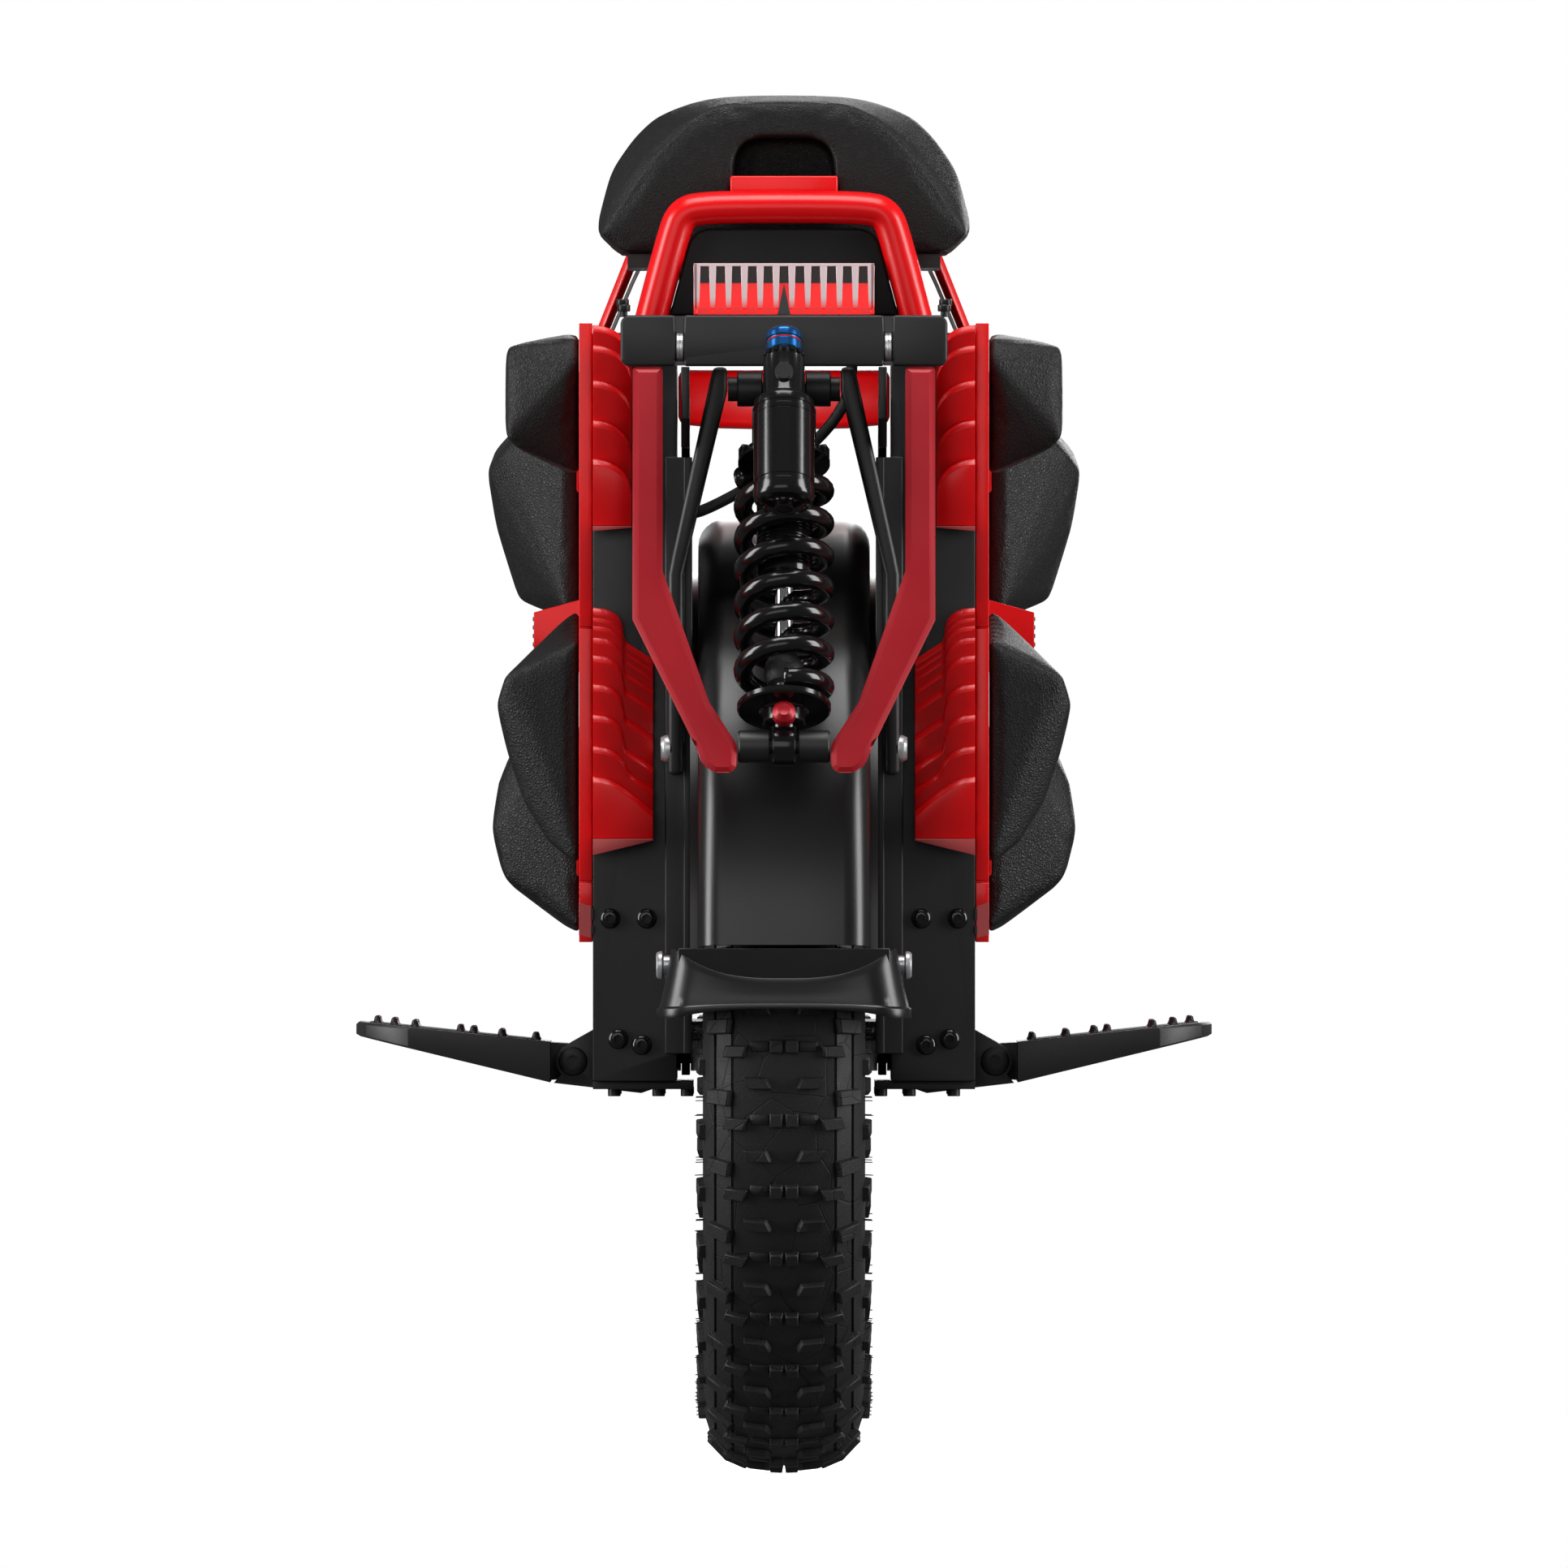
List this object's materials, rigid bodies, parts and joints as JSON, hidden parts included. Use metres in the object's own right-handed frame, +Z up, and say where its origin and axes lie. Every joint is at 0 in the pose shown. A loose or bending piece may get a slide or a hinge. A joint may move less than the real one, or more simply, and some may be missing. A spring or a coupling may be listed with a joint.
{
  "type": "electric unicycle",
  "caption": "Electric unicycle with a knobbly motor wheel, sliding wheel carriage, rear coil shock, padded side cases, folding pedals and a seat.",
  "frame": {"origin": "on the ground under the axle, at the middle of the tyre's lowest facet", "axes": "+Y forward, +X to the rider's right, +Z up"},
  "size_m": [0.4544, 0.4973, 0.7314],
  "materials": {
    "satin_black": "satin black coat",
    "gloss_black": "gloss black",
    "dark_metal": "dark anodised",
    "panel_red": "gloss bright red",
    "crimson": "crimson anodised",
    "leather": "grained black leather",
    "rubber": "black rubber",
    "steel": "bright steel",
    "blue": "blue anodised",
    "lens_red": "clear red lens",
    "lens_clear": "clear lens",
    "pack_wrap": "blue shrink wrap",
    "copper": "steel core with copper windings"
  },
  "bodies": {
    "body": {"upper_shock_pin": "satin_black", "shock_arm_left": "satin_black", "shock_arm_right": "satin_black", "chassis_deck": "satin_black", "seat_pan": "satin_black", "side_case_left": "satin_black", "battery_pack_left": "pack_wrap", "side_panel_left": "panel_red", "gill_cover_upper_left": "panel_red", "gill_cover_lower_left": "panel_red", "pad_upper_rear_left": "leather", "pad_upper_front_left": "leather", "pad_lower_rear_left": "leather", "pad_lower_front_left": "leather", "pedal_hanger_left": "satin_black", "side_case_right": "satin_black", "battery_pack_right": "pack_wrap", "side_panel_right": "panel_red", "gill_cover_upper_right": "panel_red", "gill_cover_lower_right": "panel_red", "pad_upper_rear_right": "leather", "pad_upper_front_right": "leather", "pad_lower_rear_right": "leather", "pad_lower_front_right": "leather", "pedal_hanger_right": "satin_black", "controller": "dark_metal", "rear_hoop": "panel_red", "front_hoop": "panel_red", "front_brace": "panel_red", "taillight_housing": "gloss_black", "taillight_lens": "lens_red", "headlight_housing": "gloss_black", "headlight_lens": "lens_clear", "seat_cushion": "leather", "motor_cable": "rubber"},
    "carriage": {"crossbeam": "satin_black", "fork_leg_left": "dark_metal", "fork_leg_right": "dark_metal", "link_arm_left": "crimson", "link_arm_right": "crimson", "lower_shock_pin": "satin_black", "fender": "satin_black", "mud_flap": "satin_black", "axle": "steel", "stator": "copper"},
    "wheel": {"tyre": "rubber", "rim": "dark_metal", "motor_cover_left": "dark_metal", "motor_cover_right": "dark_metal"},
    "shock_body": {"damper_body": "gloss_black", "reservoir": "gloss_black", "coil_spring": "gloss_black"},
    "shock_shaft": {"damper_shaft": "steel"},
    "preload_collar": {"preload_collar": "gloss_black"},
    "damper_knob": {"damper_knob": "blue"},
    "rebound_knob": {"rebound_knob": "crimson"},
    "pedal_left": {"pedal_left": "dark_metal"},
    "pedal_right": {"pedal_right": "dark_metal"},
    "power_button": {"power_button": "steel"}
  },
  "joints": [
    {"name": "suspension_slide", "type": "slide", "parent": "body", "child": "carriage", "axis": [0, 0, 1], "range_m": [0, 0.04], "stiffness_N_per_m": 26000, "springref_m": -0.004},
    {"name": "wheel_spin", "type": "hinge", "parent": "carriage", "child": "wheel", "pos_m": [0, 0, 0.228], "axis": [1, 0, 0], "continuous": true},
    {"name": "shock_swing", "type": "hinge", "parent": "body", "child": "shock_body", "pos_m": [0, -0.162, 0.576], "axis": [1, 0, 0], "range_deg": [-6.2, 0]},
    {"name": "shock_stroke", "type": "slide", "parent": "shock_body", "child": "shock_shaft", "axis": [0, 0.4369, 0.8995], "range_m": [0, 0.0365], "deforming": ["coil_spring"]},
    {"name": "pedal_left_fold", "type": "hinge", "parent": "body", "child": "pedal_left", "pos_m": [-0.1121, 0, 0.2195], "axis": [0, 1, 0], "range_deg": [0, 54]},
    {"name": "pedal_right_fold", "type": "hinge", "parent": "body", "child": "pedal_right", "pos_m": [0.1121, 0, 0.2195], "axis": [0, -1, 0], "range_deg": [0, 54]},
    {"name": "preload_collar_turn", "type": "hinge", "parent": "shock_body", "child": "preload_collar", "pos_m": [0, -0.18153, 0.53579], "axis": [0, -0.4369, -0.8995], "range_deg": [0, 360]},
    {"name": "damper_knob_turn", "type": "hinge", "parent": "shock_body", "child": "damper_knob", "pos_m": [0, -0.20338, 0.5961], "axis": [0, -0.4369, -0.8995], "range_deg": [0, 270]},
    {"name": "rebound_knob_turn", "type": "hinge", "parent": "shock_shaft", "child": "rebound_knob", "pos_m": [0, -0.24874, 0.39739], "axis": [0, -0.8995, 0.4369], "range_deg": [0, 270]},
    {"name": "power_button_press", "type": "slide", "parent": "body", "child": "power_button", "axis": [-1, 0, 0], "range_m": [0, 0.0015], "stiffness_N_per_m": 400, "springref_m": -0.0005}
  ],
  "couplings": [
    {"joint": "shock_swing", "follows": "suspension_slide", "rad_per_m": -2.41},
    {"joint": "shock_stroke", "follows": "suspension_slide", "ratio": 0.881}
  ]
}
